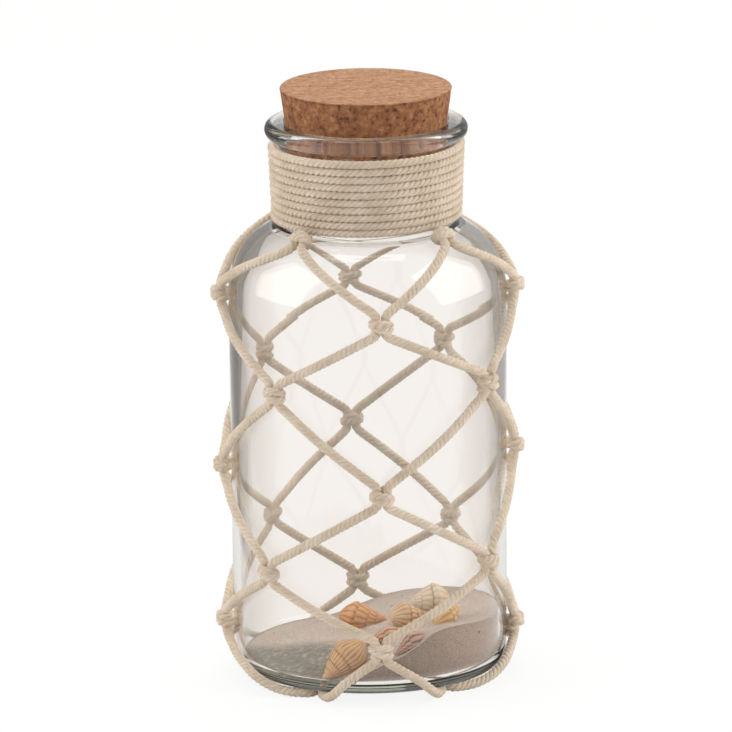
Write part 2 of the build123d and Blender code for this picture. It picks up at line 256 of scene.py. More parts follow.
shoulder_end_angle = atan2(*reversed(fillet_centre - shoulder_centre))


def arc(centre, radius, start, finish):
    """Points along an arc, with the angles of its two ends, in the plane of radius and height."""
    count = max(2, ceil(abs(finish - start) / arc_step))
    return [
        Vector((centre.x + radius * cos(angle), centre.y + radius * sin(angle)))
        for angle in (start + (finish - start) * step / count for step in range(count + 1))
    ]


def glass_outside():
    """The outside of the bottle from under its foot to the lip."""
    outline = [Vector((0.0, glass_foot))]
    outline += arc(corner_centre, corner_radius, -pi / 2, side_angle)
    outline += arc(shoulder_centre, shoulder_radius, side_angle, shoulder_end_angle)
    outline += arc(fillet_centre, neck_fillet, shoulder_end_angle - pi, -pi - neck_lean)
    outline.append(Vector((neck_top_radius, lip_foot)))
    return outline


def glass_inside():
    """The lip, mouth, bore and the inside of the body, down to the middle of the floor."""
    floor_height = glass_foot + floor_thickness
    inner_round = corner_radius - wall / 2
    inner_shoulder = shoulder_radius - wall
    bore_angle = acos((bore_radius - shoulder_centre.x) / inner_shoulder)
    lip_under = Vector((lip_radius - lip_round, lip_foot + lip_round))
    lip_over = Vector((lip_radius - lip_round, glass_top - lip_round))
    mouth_edge = Vector((mouth_radius + mouth_round, glass_top - mouth_round))
    floor_edge = Vector((foot_radius - wall - inner_round, floor_height + inner_round))
    outline = arc(lip_under, lip_round, -pi / 2, 0.0)
    outline += arc(lip_over, lip_round, 0.0, pi / 2)
    outline += arc(mouth_edge, mouth_round, pi / 2, pi)
    outline += arc(shoulder_centre, inner_shoulder, bore_angle, 0.0)
    outline += arc(floor_edge, inner_round, 0.0, -pi / 2)
    outline.append(Vector((0.0, floor_height)))
    return outline


def circle(radius, count):
    """Places at even steps round a circle about the axis, as x and y."""
    return [
        (radius * cos(2 * pi * step / count), radius * sin(2 * pi * step / count))
        for step in range(count)
    ]


def ring_mesh(name, rings):
    """A smooth mesh over rings of points. A ring of one point is a pole; an open end is closed."""
    points, numbered, faces = [], [], []
    for ring in rings:
        numbered.append(range(len(points), len(points) + len(ring)))
        points += ring
    for low, high in zip(numbered, numbered[1:]):
        count = max(len(low), len(high))
        for at in range(count):
            ahead = (at + 1) % count
            if len(low) == 1:
                faces.append((low[0], high[ahead], high[at]))
            elif len(high) == 1:
                faces.append((low[at], low[ahead], high[0]))
            else:
                faces.append((low[at], low[ahead], high[ahead], high[at]))
    if len(numbered[-1]) > 1:
        faces.append(tuple(numbered[-1]))
    made = plain_mesh(name, points, faces)
    made.data.polygons.foreach_set("use_smooth", [True] * len(faces))
    return made


def lathe(name, outline, steps):
    """A turned piece: the outline goes round the Z axis, and its points on the axis are poles."""
    rings = []
    for spot in outline:
        count = 1 if spot.x < least_radius else steps
        rings.append([(x, y, spot.y) for x, y in circle(spot.x, count)])
    return ring_mesh(name, rings)


def add_ramp(tree, *stops):
    """A colour ramp with its stops, each a place and a colour."""
    made = add_node(tree, "ValToRGB")
    while len(made.color_ramp.elements) < len(stops):
        made.color_ramp.elements.new(0.5)
    for element, (position, colour) in zip(made.color_ramp.elements, stops):
        element.position = position
        element.color = (*colour, 1.0)
    return made


def glass_material():
    """Clear soda glass with faint waves: a little green where thick, with painted grey shade where
    its surface turns away from the eye.
    """
    made, tree, shader = new_material("clear_glass")
    shader.inputs["Roughness"].default_value = 0.0
    shader.inputs["IOR"].default_value = 1.48
    shader.inputs["Transmission Weight"].default_value = 1.0
    place = add_node(tree, "TexCoord")
    waves = add_node(tree, "TexNoise", Scale=22.0, Detail=1.0)
    bump = add_node(tree, "Bump", Strength=0.06, Distance=0.0015)
    edge_shade_facing = add_node(tree, "LayerWeight", Blend=0.5)
    # Painted grey shade: the glass's colour darkens towards its edges, where its surface turns away
    # from the eye.
    tint = add_ramp(
        tree,
        (0.25, (0.972, 0.950, 0.936)), (0.40, (0.88, 0.84, 0.81)),
        (0.75, (0.67, 0.63, 0.60)), (1.0, (0.52, 0.48, 0.44)),
    )
    body = add_node(tree, "VolumeAbsorption", Color=(0.68, 0.72, 0.62, 1.0), Density=22.0)
    link_nodes(
        tree,
        ((place, "Object"), (waves, "Vector")),
        ((waves, "Fac"), (bump, "Height")),
        ((bump, "Normal"), (shader, "Normal")),
        ((edge_shade_facing, "Facing"), (tint, "Fac")),
        ((tint, "Color"), (shader, "Base Color")),
        ((body, "Volume"), (tree.nodes["Material Output"], "Volume")),
    )
    return made


glass = lathe("clear_bottle", glass_outside() + glass_inside(), lathe_steps)
glass.data.materials.append(glass_material())
glass.visible_shadow = False
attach(glass, "bottle")
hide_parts("glass_bottle")

# Cork stopper
# One plug of pressed cork granules, turned to a taper. Its sides and top are pitted where granules
# have come away, and its edges are a little worn.
cork_low, cork_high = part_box("cork_stopper")
cork_top_radius = 0.0369
cork_half_angle = radians(8.0)
cork_edge = 0.0009
cork_grain = 0.0019
cork_grain_bend = 0.0022
cork_side_steps = 300
cork_rows = 40
cork_under_rings = 6
cork_top_rings = 26
pit_depth = 0.0005
pit_size = 0.0021
pit_least = 0.22
pit_steepness = 1.8
pit_top_share = 0.35


def cork_outline():
    """Outline of the plug from the middle of its underside to the middle of its top."""
    height = cork_high.z - cork_low.z
    low_radius = cork_top_radius - height * tan(cork_half_angle)
    low_edge = Vector((low_radius - cork_edge, cork_low.z + cork_edge))
    high_edge = Vector((cork_top_radius - cork_edge, cork_high.z - cork_edge))
    outline = [
        Vector((low_radius * step / cork_under_rings, cork_low.z))
        for step in range(cork_under_rings)
    ]
    outline += arc(low_edge, cork_edge, -pi / 2, 0.0)
    for row in range(1, cork_rows):
        share = row / cork_rows
        radius = low_radius + (cork_top_radius - low_radius) * share
        outline.append(Vector((radius, cork_low.z + height * share)))
    outline += arc(high_edge, cork_edge, 0.0, pi / 2)
    outline += [
        Vector((cork_top_radius * (1 - step / cork_top_rings), cork_high.z))
        for step in range(2, cork_top_rings + 1)
    ]
    return outline


def add_mix(tree, blend="MIX", **values):
    """A node that mixes two colours."""
    return add_node(tree, "Mix", data_type="RGBA", blend_type=blend, **values)


def cork_material():
    """Fine granules in close browns with dark specks and lines, darker and redder on the sides."""
    made, tree, shader = new_material("pressed_cork")
    shader.inputs["Roughness"].default_value = 0.85
    place = add_node(tree, "TexCoord")
    wobble = add_node(tree, "TexNoise", Scale=300.0, Detail=3.0)
    bent = add_node(tree, "VectorMath", operation="MULTIPLY_ADD")
    bent.inputs[1].default_value = (cork_grain_bend, cork_grain_bend, cork_grain_bend)
    grains = add_node(tree, "TexVoronoi", Scale=1 / cork_grain)
    split = add_node(tree, "SeparateColor")
    browns = add_ramp(
        tree,
        (0.0, (0.36, 0.185, 0.094)), (0.4, (0.43, 0.235, 0.125)),
        (0.75, (0.46, 0.258, 0.141)), (1.0, (0.52, 0.305, 0.178)),
    )
    streak_place = add_node(tree, "Mapping", Scale=(90.0, 420.0, 90.0))
    streaks = add_node(tree, "TexNoise", Scale=1.0, Detail=4.0, Roughness=0.65)
    streak_tones = add_ramp(
        tree,
        (0.30, (0.55, 0.42, 0.34)), (0.42, (0.88, 0.82, 0.78)),
        (0.56, (1.0, 1.0, 1.0)), (0.74, (1.16, 1.18, 1.20)),
    )
    specks = add_node(tree, "TexNoise", Scale=520.0, Detail=3.0, Roughness=0.7)
    speck_tones = add_ramp(tree, (0.33, (0.34, 0.20, 0.14)), (0.42, (1.0, 1.0, 1.0)))
    side = add_node(tree, "Attribute", attribute_name="side")
    patches = add_node(tree, "TexNoise", Scale=330.0, Detail=4.0, Roughness=0.62)
    side_tones = add_ramp(
        tree,
        (0.34, (0.28, 0.17, 0.11)), (0.43, (0.62, 0.44, 0.33)),
        (0.56, (0.82, 0.64, 0.48)), (0.70, (1.06, 0.88, 0.68)),
    )
    streaked = add_mix(tree, "MULTIPLY", Factor=0.75)
    specked = add_mix(tree, "MULTIPLY", Factor=0.9)
    sided = add_mix(tree, "MULTIPLY")
    bump = add_node(tree, "Bump", Strength=0.6, Distance=0.0005)
    link_nodes(
        tree,
        ((place, "Object"), (wobble, "Vector")),
        ((wobble, "Color"), (bent, 0)),
        ((place, "Object"), (bent, 2)),
        ((bent, "Vector"), (grains, "Vector")),
        ((grains, "Color"), (split, "Color")),
        ((split, "Red"), (browns, "Fac")),
        ((place, "Object"), (streak_place, "Vector")),
        ((streak_place, "Vector"), (streaks, "Vector")),
        ((streaks, "Fac"), (streak_tones, "Fac")),
        ((place, "Object"), (specks, "Vector")),
        ((specks, "Fac"), (speck_tones, "Fac")),
        ((place, "Object"), (patches, "Vector")),
        ((patches, "Fac"), (side_tones, "Fac")),
        ((browns, "Color"), (streaked, "A")),
        ((streak_tones, "Color"), (streaked, "B")),
        ((streaked, "Result"), (specked, "A")),
        ((speck_tones, "Color"), (specked, "B")),
        ((side, "Fac"), (sided, "Factor")),
        ((specked, "Result"), (sided, "A")),
        ((side_tones, "Color"), (sided, "B")),
        ((sided, "Result"), (shader, "Base Color")),
        ((specks, "Fac"), (bump, "Height")),
        ((bump, "Normal"), (shader, "Normal")),
    )
    return made


cork = lathe("cork_plug", cork_outline(), cork_side_steps)
cork_middle = Vector((0.0, 0.0, (cork_low.z + cork_high.z) / 2))
cork_side = cork.data.attributes.new("side", "FLOAT", "POINT")
for vertex in cork.data.vertices:
    is_side = vertex.co.z < cork_high.z - cork_edge / 2
    cork_side.data[vertex.index].value = is_side
    pit = pit_steepness * max(0.0, noise.noise(vertex.co / pit_size) - pit_least)
    inward = (cork_middle - vertex.co).normalized()
    vertex.co += inward * pit_depth * min(1.0, pit) * (1.0 if is_side else pit_top_share)
cork.data.materials.append(cork_material())
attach(cork, "stopper")
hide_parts("cork_stopper")

# Base ring
# A closed ring of soft cotton cord under the foot, which the four doubled cords start from. Like
# all the cord here, it is laid up from three strands with a right-hand twist.
ring_low, ring_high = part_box("base_ring")
ring_radius = 0.0390
ring_cord_radius = (ring_high.z - ring_low.z) / 2
ring_lay_length = 0.0095
ring_step = 0.0009
ring_points = 180
strand_count = 3
strand_radius_share = 0.56
strand_offset_share = 0.46
strand_sides = 8


def cord_tree():
    """Three strands laid round the edges of a path, as one mesh."""
    tree = bpy.data.node_groups.new("twisted_cord", "GeometryNodeTree")
    tree.is_modifier = True
    tree.interface.new_socket("Geometry", in_out="OUTPUT", socket_type="NodeSocketGeometry")
    for name, kind in (
        ("Geometry", "Geometry"), ("Cord Radius", "Float"), ("Lay Length", "Float"),
        ("Step", "Float"), ("Material", "Material"),
    ):
        tree.interface.new_socket(name, in_out="INPUT", socket_type="NodeSocket" + kind)
    new = tree.nodes.new
    link = tree.links.new

    def maths(kind, operation, first, second=None):
        node = new(kind)
        node.operation = operation
        for place, value in enumerate((first, second)):
            if isinstance(value, (int, float)):
                node.inputs[place].default_value = value
            elif value is not None:
                link(value, node.inputs[place])
        return node.outputs[0]

    def number(operation, first, second=None):
        return maths("ShaderNodeMath", operation, first, second)

    def vector(operation, first, second):
        return maths("ShaderNodeVectorMath", operation, first, second)

    def scaled(way, amount):
        node = new("ShaderNodeVectorMath")
        node.operation = "SCALE"
        link(way, node.inputs[0])
        link(amount, node.inputs["Scale"])
        return node.outputs[0]

    def marked(geometry, name, value):
        node = new("GeometryNodeStoreNamedAttribute")
        node.data_type = "FLOAT"
        node.domain = "POINT"
        node.inputs["Name"].default_value = name
        link(geometry, node.inputs["Geometry"])
        link(value, node.inputs["Value"])
        return node.outputs["Geometry"]

    given = new("NodeGroupInput").outputs
    path = new("GeometryNodeMeshToCurve")
    spaced = new("GeometryNodeResampleCurve")
    spaced.mode = "LENGTH"
    link(given["Geometry"], path.inputs["Mesh"])
    link(path.outputs["Curve"], spaced.inputs["Curve"])
    link(given["Step"], spaced.inputs["Length"])
    length = new("GeometryNodeSplineParameter").outputs["Length"]
    normal = new("GeometryNodeInputNormal").outputs["Normal"]
    tangent = new("GeometryNodeInputTangent").outputs["Tangent"]
    side = vector("CROSS_PRODUCT", tangent, normal)
    turns = number("DIVIDE", length, given["Lay Length"])
    strand_radius = number("MULTIPLY", given["Cord Radius"], strand_radius_share)
    strand_offset = number("MULTIPLY", given["Cord Radius"], strand_offset_share)
    joined = new("GeometryNodeJoinGeometry")
    for strand in range(strand_count):
        turned = number("ADD", turns, strand / strand_count)
        angle = number("MULTIPLY", turned, -2 * pi)
        pushes = [
            scaled(way, number("MULTIPLY", number(kind, angle), strand_offset))
            for way, kind in ((normal, "COSINE"), (side, "SINE"))
        ]
        shifted = new("GeometryNodeSetPosition")
        link(spaced.outputs["Curve"], shifted.inputs["Geometry"])
        link(vector("ADD", *pushes), shifted.inputs["Offset"])
        ring = new("GeometryNodeCurvePrimitiveCircle")
        ring.inputs["Resolution"].default_value = strand_sides
        link(strand_radius, ring.inputs["Radius"])
        round_ring = new("GeometryNodeSplineParameter").outputs["Factor"]
        tube = new("GeometryNodeCurveToMesh")
        tube.inputs["Fill Caps"].default_value = True
        link(marked(shifted.outputs["Geometry"], "along", length), tube.inputs["Curve"])
        link(marked(ring.outputs["Curve"], "around", round_ring), tube.inputs["Profile Curve"])
        link(tube.outputs["Mesh"], joined.inputs["Geometry"])
    realized = new("GeometryNodeRealizeInstances")
    smooth = new("GeometryNodeSetShadeSmooth")
    finish = new("GeometryNodeSetMaterial")
    link(joined.outputs["Geometry"], realized.inputs["Geometry"])
    link(realized.outputs["Geometry"], smooth.inputs["Geometry"])
    link(smooth.outputs["Geometry"], finish.inputs["Geometry"])
    link(given["Material"], finish.inputs["Material"])
    link(finish.outputs["Geometry"], new("NodeGroupOutput").inputs["Geometry"])
    return tree


def cotton_material():
    """Undyed cotton: warm off-white, with fibres along each strand and darker grooves."""
    made, tree, shader = new_material("undyed_cotton")
    shader.inputs["Roughness"].default_value = 0.95
    shader.inputs["Sheen Weight"].default_value = 0.25
    shader.inputs["Sheen Roughness"].default_value = 0.5
    along = add_node(tree, "Attribute", attribute_name="along")
    around = add_node(tree, "Attribute", attribute_name="around")
    fibre_place = add_node(tree, "CombineXYZ")
    stretched = add_node(tree, "Mapping", Scale=(260.0, 14.0, 1.0))
    fibres = add_node(tree, "TexNoise", Scale=1.0, Detail=3.0, Roughness=0.6)
    place = add_node(tree, "TexCoord")
    patches = add_node(tree, "TexNoise", Scale=70.0, Detail=3.0)
    shade = add_ramp(
        tree,
        (0.30, (0.61, 0.50, 0.39)), (0.50, (0.75, 0.65, 0.53)), (0.72, (0.83, 0.75, 0.65)),
    )
    tint = add_ramp(tree, (0.35, (0.90, 0.86, 0.80)), (0.65, (1.04, 1.02, 1.0)))
    mixed = add_mix(tree, "MULTIPLY", Factor=1.0)
    bump = add_node(tree, "Bump", Strength=0.7, Distance=0.0004)
    link_nodes(
        tree,
        ((along, "Fac"), (fibre_place, "X")),
        ((around, "Fac"), (fibre_place, "Y")),
        ((fibre_place, "Vector"), (stretched, "Vector")),
        ((stretched, "Vector"), (fibres, "Vector")),
        ((place, "Object"), (patches, "Vector")),
        ((fibres, "Fac"), (shade, "Fac")),
        ((patches, "Fac"), (tint, "Fac")),
        ((shade, "Color"), (mixed, "A")),
        ((tint, "Color"), (mixed, "B")),
        ((mixed, "Result"), (shader, "Base Color")),
        ((fibres, "Fac"), (bump, "Height")),
        ((bump, "Normal"), (shader, "Normal")),
    )
    return made


twisted_cord = cord_tree()
cotton = cotton_material()


def lay_cord(name, paths, radius, lay_length, step):
    """A piece of twisted cord along each path, baked to a plain mesh."""
    points, edges = [], []
    for path in paths:
        edges += [(len(points) + at, len(points) + at + 1) for at in range(len(path) - 1)]
        points += [tuple(p) for p in path]
    mesh = bpy.data.meshes.new(name + "_path")
    mesh.from_pydata(points, edges, [])
    maker = add_object(name + "_path", mesh)
    modifier = maker.modifiers.new("cord", "NODES")
    modifier.node_group = twisted_cord
    sizes = {"Cord Radius": radius, "Lay Length": lay_length, "Step": step, "Material": cotton}
    for item in twisted_cord.interface.items_tree:
        if item.name in sizes:
            modifier[item.identifier] = sizes[item.name]
    laid = maker.evaluated_get(bpy.context.evaluated_depsgraph_get())
    baked = bpy.data.meshes.new_from_object(laid)
    bpy.data.objects.remove(maker)
    baked.name = name
    return add_object(name, baked)


ring_path = [
    Vector((ring_radius * cos(angle), ring_radius * sin(angle), ring_low.z + ring_cord_radius))
    for angle in (2 * pi * step / ring_points for step in range(ring_points + 1))
]
base_ring = lay_cord("foot_ring", [ring_path], ring_cord_radius, ring_lay_length, ring_step)
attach(base_ring, "bottle")
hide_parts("base_ring")

# Net cords
# Four doubled lengths of the cotton cord go up from the ring against the glass. Their eight
# strands meet in pairs at six rows of knots, and end under the winding.
cord_radius = 0.0021
net_stand_off = 0.0023
knot_stand_off = 0.0034
pair_pitch = 0.0044
knot_pair_pitch = 0.0040
band_height = 0.0050
bend_radius = 0.0034
lay_length = 0.0070
net_step = 0.0008
strand_steps = 48
bight_steps = 8
bight_gap = 0.0045
bight_run = ring_radius + ring_cord_radius + bight_gap
# Turns are in degrees from the front, and rows of knots are shares of the net's height. A doubled
# cord's two strands meet at its own knots, and meet the next cords' at the shared ones.
start_turns = (-27.5, 40.0, 137.0, 222.0)
own_knot_turns = (
    (-43.8, 54.0, 143.0, 226.0), (-39.5, 53.8, 146.0, 230.0), (-37.0, 45.0, 146.0, 226.0),
)
shared_knot_turns = (
    (4.0, 91.0, 185.0, 273.0), (5.0, 91.0, 187.0, 273.0), (5.0, 91.0, 187.0, 273.0),
)
own_row_shares = (
    (0.233, 0.243, 0.232, 0.245), (0.635, 0.643, 0.633, 0.624), (0.977, 0.978, 0.976, 0.976),
)
shared_row_shares = (
    (0.076, 0.052, 0.067, 0.070), (0.423, 0.456, 0.436, 0.422), (0.804, 0.815, 0.772, 0.808),
)
corner_run = corner_centre.x
side_run = corner_run + corner_radius * (pi / 2 + side_angle)
side_length = sqrt(centres_apart.length_squared - (shoulder_radius - corner_radius) ** 2)
shoulder_run = side_run + side_length
neck_run = shoulder_run + shoulder_radius * (shoulder_end_angle - side_angle)
net_run = neck_run - side_run


def outline_at(run):
    """Spot on the glass outline, a run from under the foot, and the way out of the glass there."""
    if run < corner_run:
        return Vector((run, glass_foot)), Vector((0.0, -1.0))
    if run < side_run:
        angle = -pi / 2 + (run - corner_run) / corner_radius
        outward = Vector((cos(angle), sin(angle)))
        return corner_centre + outward * corner_radius, outward
    if run < shoulder_run:
        outward = Vector((cos(side_angle), sin(side_angle)))
        along = Vector((-outward.y, outward.x))
        return corner_centre + outward * corner_radius + along * (run - side_run), outward
    angle = side_angle + (run - shoulder_run) / shoulder_radius
    outward = Vector((cos(angle), sin(angle)))
    return shoulder_centre + outward * shoulder_radius, outward


def on_bottle(turn, run, stand_off):
    """Point off the glass: a turn in radians from the front, and a run along the outline."""
    spot, outward = outline_at(run)
    radius = spot.x + outward.x * stand_off
    return Vector((radius * sin(turn), -radius * cos(turn), spot.y + outward.y * stand_off))


def net_radius(run):
    """How far from the bottle's axis a strand of the net lies."""
    return abs(on_bottle(0.0, run, net_stand_off).y)


def pair_turn(run, pitch):
    """Half the turn between two cords that lie side by side."""
    return degrees(asin(pitch / 2 / net_radius(run)))


def stations(cord, side):
    """The knots of one strand of a doubled cord, from the base up, as turn and run."""
    neighbour = (cord + (side - 1) // 2) % len(start_turns)
    lap = 360.0 if cord == 0 and side < 0 else 0.0
    found = []
    for row, own_turns in enumerate(own_knot_turns):
        run = side_run + shared_row_shares[row][neighbour] * net_run
        turn = shared_knot_turns[row][neighbour] - lap - side * pair_turn(run, knot_pair_pitch)
        found.append((turn, run))
        run = side_run + own_row_shares[row][cord] * net_run
        found.append((own_turns[cord] + side * pair_turn(run, knot_pair_pitch), run))
    return found


def swept(rise, height, width):
    """How far across a strand has got after a rise: a bend, a straight run and a bend back."""
    straight = width - 2 * bend_radius
    lean = atan2(straight, height) + asin(2 * bend_radius / sqrt(straight**2 + height**2))
    bend_rise = bend_radius * sin(lean)
    if rise < bend_rise:
        return bend_radius - sqrt(bend_radius**2 - rise**2)
    if rise > height - bend_rise:
        return width - swept(height - rise, height, width)
    return bend_radius - bend_radius * cos(lean) + (rise - bend_rise) * tan(lean)


def lift_left(rise):
    """Share of a knot's extra stand-off that is left after a rise from it."""
    gone = min(rise / bend_radius / 2, 1.0)
    return (1 - gone) ** 2 * (1 + 2 * gone)


def strand_path(cord, side):
    """Points of one strand from its start at the base to its end under the winding."""
    low_turn = start_turns[cord] + side * pair_turn(bight_run, pair_pitch)
    low_run, low_stand_off = corner_run - 2 * cord_radius, net_stand_off
    path = []
    for turn, run in stations(cord, side):
        height = run - band_height / 2 - low_run
        width = radians(abs(turn - low_turn)) * net_radius(low_run + height / 2)
        for step in range(strand_steps):
            rise = height * step / strand_steps
            lift = (low_stand_off - net_stand_off) * lift_left(rise)
            lift += (knot_stand_off - net_stand_off) * lift_left(height - rise)
            turned = low_turn + (turn - low_turn) * swept(rise, height, width) / width
            path.append(on_bottle(radians(turned), low_run + rise, net_stand_off + lift))
        path.append(on_bottle(radians(turn), run - band_height / 2, knot_stand_off))
        path.append(on_bottle(radians(turn), run, knot_stand_off))
        low_turn, low_run, low_stand_off = turn, run + band_height / 2, knot_stand_off
    path.append(on_bottle(radians(turn), low_run, knot_stand_off))
    return path


def bight_path(cord):
    """The half circle where a doubled cord turns back against the ring."""
    foot = on_bottle(radians(start_turns[cord]), bight_run, net_stand_off)
    inward = -Vector((foot.x, foot.y, 0.0)).normalized()
    across = Vector((-inward.y, inward.x, 0.0))
    return [
        foot + (across * cos(angle) * -1 + inward * sin(angle)) * pair_pitch / 2
        for angle in (pi * step / bight_steps for step in range(bight_steps + 1))
    ]


for cord in range(len(start_turns)):
    left = strand_path(cord, -1)
    right = strand_path(cord, 1)
    bight = bight_path(cord)
    if (bight[0] - left[0]).length > (bight[-1] - left[0]).length:
        bight.reverse()
    doubled = list(reversed(left)) + bight + right
    net_cord = lay_cord(f"net_strand_{cord + 1}", [doubled], cord_radius, lay_length, net_step)
    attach(net_cord, "bottle")
    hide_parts(f"net_cord_{cord + 1}")

# Net knots
# Where two strands of the cotton cord meet they are tied: one is drawn twice round both, the second
# time across the first, and pulled tight, so that a knot is about as tall as it is wide.
knot_half_width = 0.0038
knot_half_depth = 0.0026
knot_rise = 0.0050
knot_tilt = 0.0013
knot_turns = 2.1
knot_cord_radius = 0.0019
knot_step = 0.0007
knot_points = 60
knot_first_lean = 2.4
knot_lean_change = 1.3
knot_leans = 3
knot_end_share = 0.2
knot_tuck_speed = 7
up_step = 0.001


def knot_path(turn, run, lean):
    """Two loops round a pair of strands, tilted opposite ways, with ends tucked in between."""
    middle = on_bottle(turn, run, knot_stand_off)
    up = (on_bottle(turn, run + up_step, knot_stand_off) - middle).normalized()
    across = Vector((cos(turn), sin(turn), 0.0))
    outward = across.cross(up)
    path = []
    for step in range(knot_points + 1):
        share = step / knot_points
        angle = 2 * pi * knot_turns * share + lean
        tuck = min(1.0, knot_tuck_speed * min(share, 1 - share) + knot_end_share)
        tilt = knot_tilt * cos(angle) * cos(2 * pi * share)
        path.append(
            middle
            + across * cos(angle) * knot_half_width * tuck
            + outward * sin(angle) * knot_half_depth * tuck
            + up * ((share - 0.5) * knot_rise + tilt)
        )
    return path


knot_paths = []
for cord in range(len(start_turns)):
    for place, (turn, run) in enumerate(stations(cord, 1)):
        side = 1 if place % 2 == 0 else -1
        middle_turn = turn + side * pair_turn(run, knot_pair_pitch)
        lean = knot_first_lean + knot_lean_change * (place % knot_leans)
        knot_paths.append(knot_path(radians(middle_turn), run, lean))
knots = lay_cord("tied_knots", knot_paths, knot_cord_radius, lay_length, knot_step)
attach(knots, "bottle")
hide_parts("net_knots")

# Neck winding
# One length of the cotton cord, wound tight and a little unevenly round the neck from the shoulder
# up to the lip, over the ends of the net.
winding_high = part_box("neck_winding")[1].z
winding_pitch = 0.00335
winding_turns = 9.75
winding_cord_radius = 0.0018
winding_stand_off = 0.0018
winding_end_turn = radians(150.0)
winding_points = 90
winding_lay_length = 0.0078
winding_step = 0.00085
uneven_radius = 0.0001
uneven_radius_rate = 3.1
uneven_height = 0.00012
uneven_height_rate = 2.3
winding_path = []
for step in range(ceil(winding_turns * winding_points) + 1):
    turns = step / winding_points
    height = winding_high - winding_cord_radius - (winding_turns - turns) * winding_pitch
    radius = neck_top_radius + winding_stand_off - (lip_foot - height) * tan(neck_lean)
    radius += uneven_radius * noise.noise(Vector((turns * uneven_radius_rate, 0.0, 0.0)))
    height += uneven_height * noise.noise(Vector((0.0, turns * uneven_height_rate, 0.0)))
    angle = winding_end_turn + 2 * pi * (turns - winding_turns)
    winding_path.append(Vector((radius * sin(angle), -radius * cos(angle), height)))
winding = lay_cord(
    "wound_cord", [winding_path], winding_cord_radius, winding_lay_length, winding_step
)
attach(winding, "bottle")
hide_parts("neck_winding")

# Sand
# Pale fine sand, poured in and heaped towards the right. It thins out to the front left, where it
# hardly covers the glass floor; there it is painted grey and patchy, partly for the grains spread
# on the glass and partly as painted shade. Its side against the glass is darkened with painted
# shade.
# Its top is uneven, with a small heap and dents.
sand_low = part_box("sand_bed")[0].z
sand_gap = 0.0003
sand_radius = foot_radius - wall - sand_gap
sand_middle_height = 0.0195
sand_rise_right = 0.182
sand_rise_back = -0.029
sand_front_height = 0.0250
sand_front_right = 0.281
sand_front_back = 0.180
sand_edge_round = 0.0012
sand_least = 0.0004
sand_rim_share = 0.6
sand_side_share = 0.999
sand_rings = 70
sand_steps = 220
# Each rise on the sand, or dent where it is below zero: place, height, size.
sand_mounds = (
    (Vector((0.027, -0.048)), 0.0064, 0.020),
    (Vector((-0.016, -0.053)), -0.0030, 0.013),
    (Vector((0.015, -0.046)), -0.0036, 0.0085),
    (Vector((-0.024, 0.052)), -0.0060, 0.026),
)
# The waves on its top: height, length, layer of the noise.
sand_waves = ((0.0009, 0.016, 0.0), (0.0004, 0.005, 3.0))
grey_start = -0.0018
grey_fade = 0.0020
grey_right_end = -0.008
grey_side_fade = 0.010
dark_grain_share = 0.012
dark_grain_reach = 0.28


def sand_slopes(x, y):
    """Heights of the main slope and of the thin one at the front left, over a point below."""
    heap = sum(
        height * exp(-((x - place.x) ** 2 + (y - place.y) ** 2) / size**2)
        for place, height, size in sand_mounds
    )
    main = sand_middle_height + sand_rise_right * x + sand_rise_back * y + heap
    front = sand_front_height + sand_front_right * x + sand_front_back * y + heap
    return main, front


def sand_height(x, y):
    """Height of the sand's top over a point of the floor."""
    main, front = sand_slopes(x, y)
    rounded = min(main, front) - sand_edge_round * exp(-abs(main - front) / sand_edge_round)
    waves = sum(
        height * noise.noise(Vector((x, y, layer)) / length)
        for height, length, layer in sand_waves
    )
    return max(sand_low + sand_least, rounded + waves)


def sand_mesh():
    """A closed body: a flat underside with a rounded rim, an upright side and the uneven top."""
    rim_round = corner_radius - wall / 2
    rim_middle = 1 - cos(pi / 4)
    rings = [[(0.0, 0.0, sand_low)]]
    for inward, lift in ((1.0, 0.0), (rim_middle, rim_middle), (0.0, 1.0)):
        rings.append([])
        for x, y in circle(sand_radius - rim_round * inward, sand_steps):
            rim_height = min(rim_round, sand_rim_share * (sand_height(x, y) - sand_low))
            rings[-1].append((x, y, sand_low + lift * rim_height))
    for ring in range(sand_rings, -1, -1):
        places = circle(sand_radius * (ring / sand_rings), sand_steps if ring else 1)
        rings.append([(x, y, sand_height(x, y)) for x, y in places])
    return ring_mesh("sand_heap", rings)


